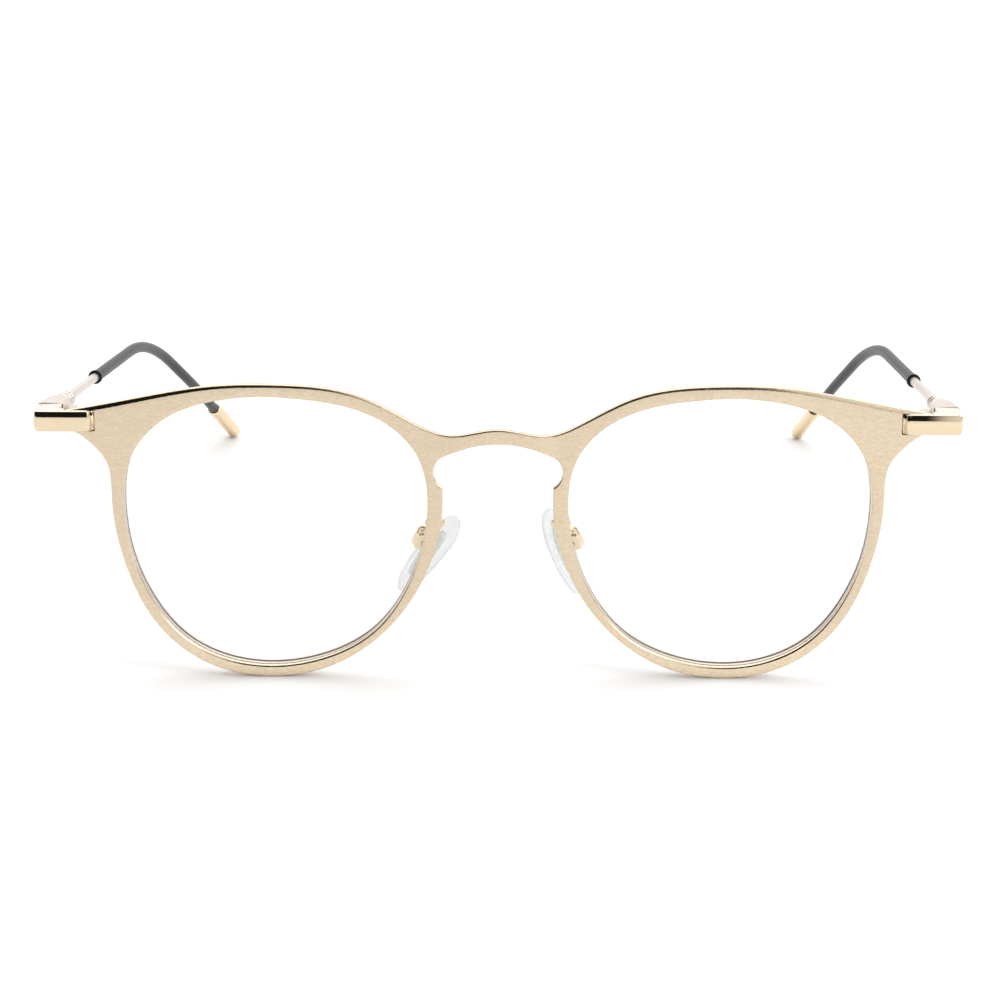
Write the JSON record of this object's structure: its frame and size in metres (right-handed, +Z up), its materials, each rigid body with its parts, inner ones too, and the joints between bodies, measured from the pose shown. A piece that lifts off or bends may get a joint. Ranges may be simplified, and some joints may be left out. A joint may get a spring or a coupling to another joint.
{
  "type": "eyeglasses frame",
  "caption": "Slim metal eyeglasses frame with round panto eyes, folding rod temples with sleeved ear bends, and rocking clear nose pads.",
  "frame": {"origin": "middle of the footprint of the frame standing on its rims and temple tips, on the surface it stands on", "axes": "+X to the right seen from in front, +Y from the front back along the temples, +Z up"},
  "size_m": [0.142, 0.1265, 0.048],
  "materials": {
    "satin_plate": "fine brushed satin champagne gold plating",
    "satin_rod": "satin rose-champagne plating",
    "polished_gold": "mirror polished champagne gold plating",
    "tip_gold": "polished gold plating",
    "screw_steel": "turned steel",
    "sleeve_black": "satin black tube",
    "clear_lens": "clear demo lens",
    "pad_silicone": "clear silicone",
    "pad_core": "clear hard plastic core"
  },
  "bodies": {
    "front": {"front_plate": "satin_plate", "eyewire_left": "satin_rod", "lens_left": "clear_lens", "rim_lock_upper_left": "satin_rod", "rim_lock_lower_left": "satin_rod", "rim_screw_left": "screw_steel", "end_piece_left": "polished_gold", "front_hinge_left": "polished_gold", "hinge_screw_left": "screw_steel", "pad_arm_left": "polished_gold", "pad_box_left": "polished_gold", "pad_screw_left": "screw_steel", "eyewire_right": "satin_rod", "lens_right": "clear_lens", "rim_lock_upper_right": "satin_rod", "rim_lock_lower_right": "satin_rod", "rim_screw_right": "screw_steel", "end_piece_right": "polished_gold", "front_hinge_right": "polished_gold", "hinge_screw_right": "screw_steel", "pad_arm_right": "polished_gold", "pad_box_right": "polished_gold", "pad_screw_right": "screw_steel"},
    "temple_left": {"temple_left": "satin_rod", "temple_hinge_left": "polished_gold", "temple_sleeve_left": "sleeve_black", "temple_tip_left": "tip_gold"},
    "pad_left": {"nose_pad_left": "pad_silicone", "pad_insert_left": "pad_core"},
    "temple_right": {"temple_right": "satin_rod", "temple_hinge_right": "polished_gold", "temple_sleeve_right": "sleeve_black", "temple_tip_right": "tip_gold"},
    "pad_right": {"nose_pad_right": "pad_silicone", "pad_insert_right": "pad_core"}
  },
  "joints": [
    {"name": "temple_right_fold", "type": "hinge", "parent": "front", "child": "temple_right", "pos_m": [0.066, -0.05909, 0.0422], "axis": [0, 0, 1], "range_deg": [-1.3, 84.7]},
    {"name": "temple_left_fold", "type": "hinge", "parent": "front", "child": "temple_left", "pos_m": [-0.066, -0.05909, 0.0422], "axis": [0, 0, -1], "range_deg": [-4.3, 78.2]},
    {"name": "pad_right_rock", "type": "hinge", "parent": "front", "child": "pad_right", "pos_m": [0.01178, -0.05491, 0.02009], "axis": [-0.3019, -0.9455, -0.122], "range_deg": [-6, 20]},
    {"name": "pad_left_rock", "type": "hinge", "parent": "front", "child": "pad_left", "pos_m": [-0.01178, -0.05491, 0.02009], "axis": [-0.3019, 0.9455, 0.122], "range_deg": [-24, 2]}
  ]
}
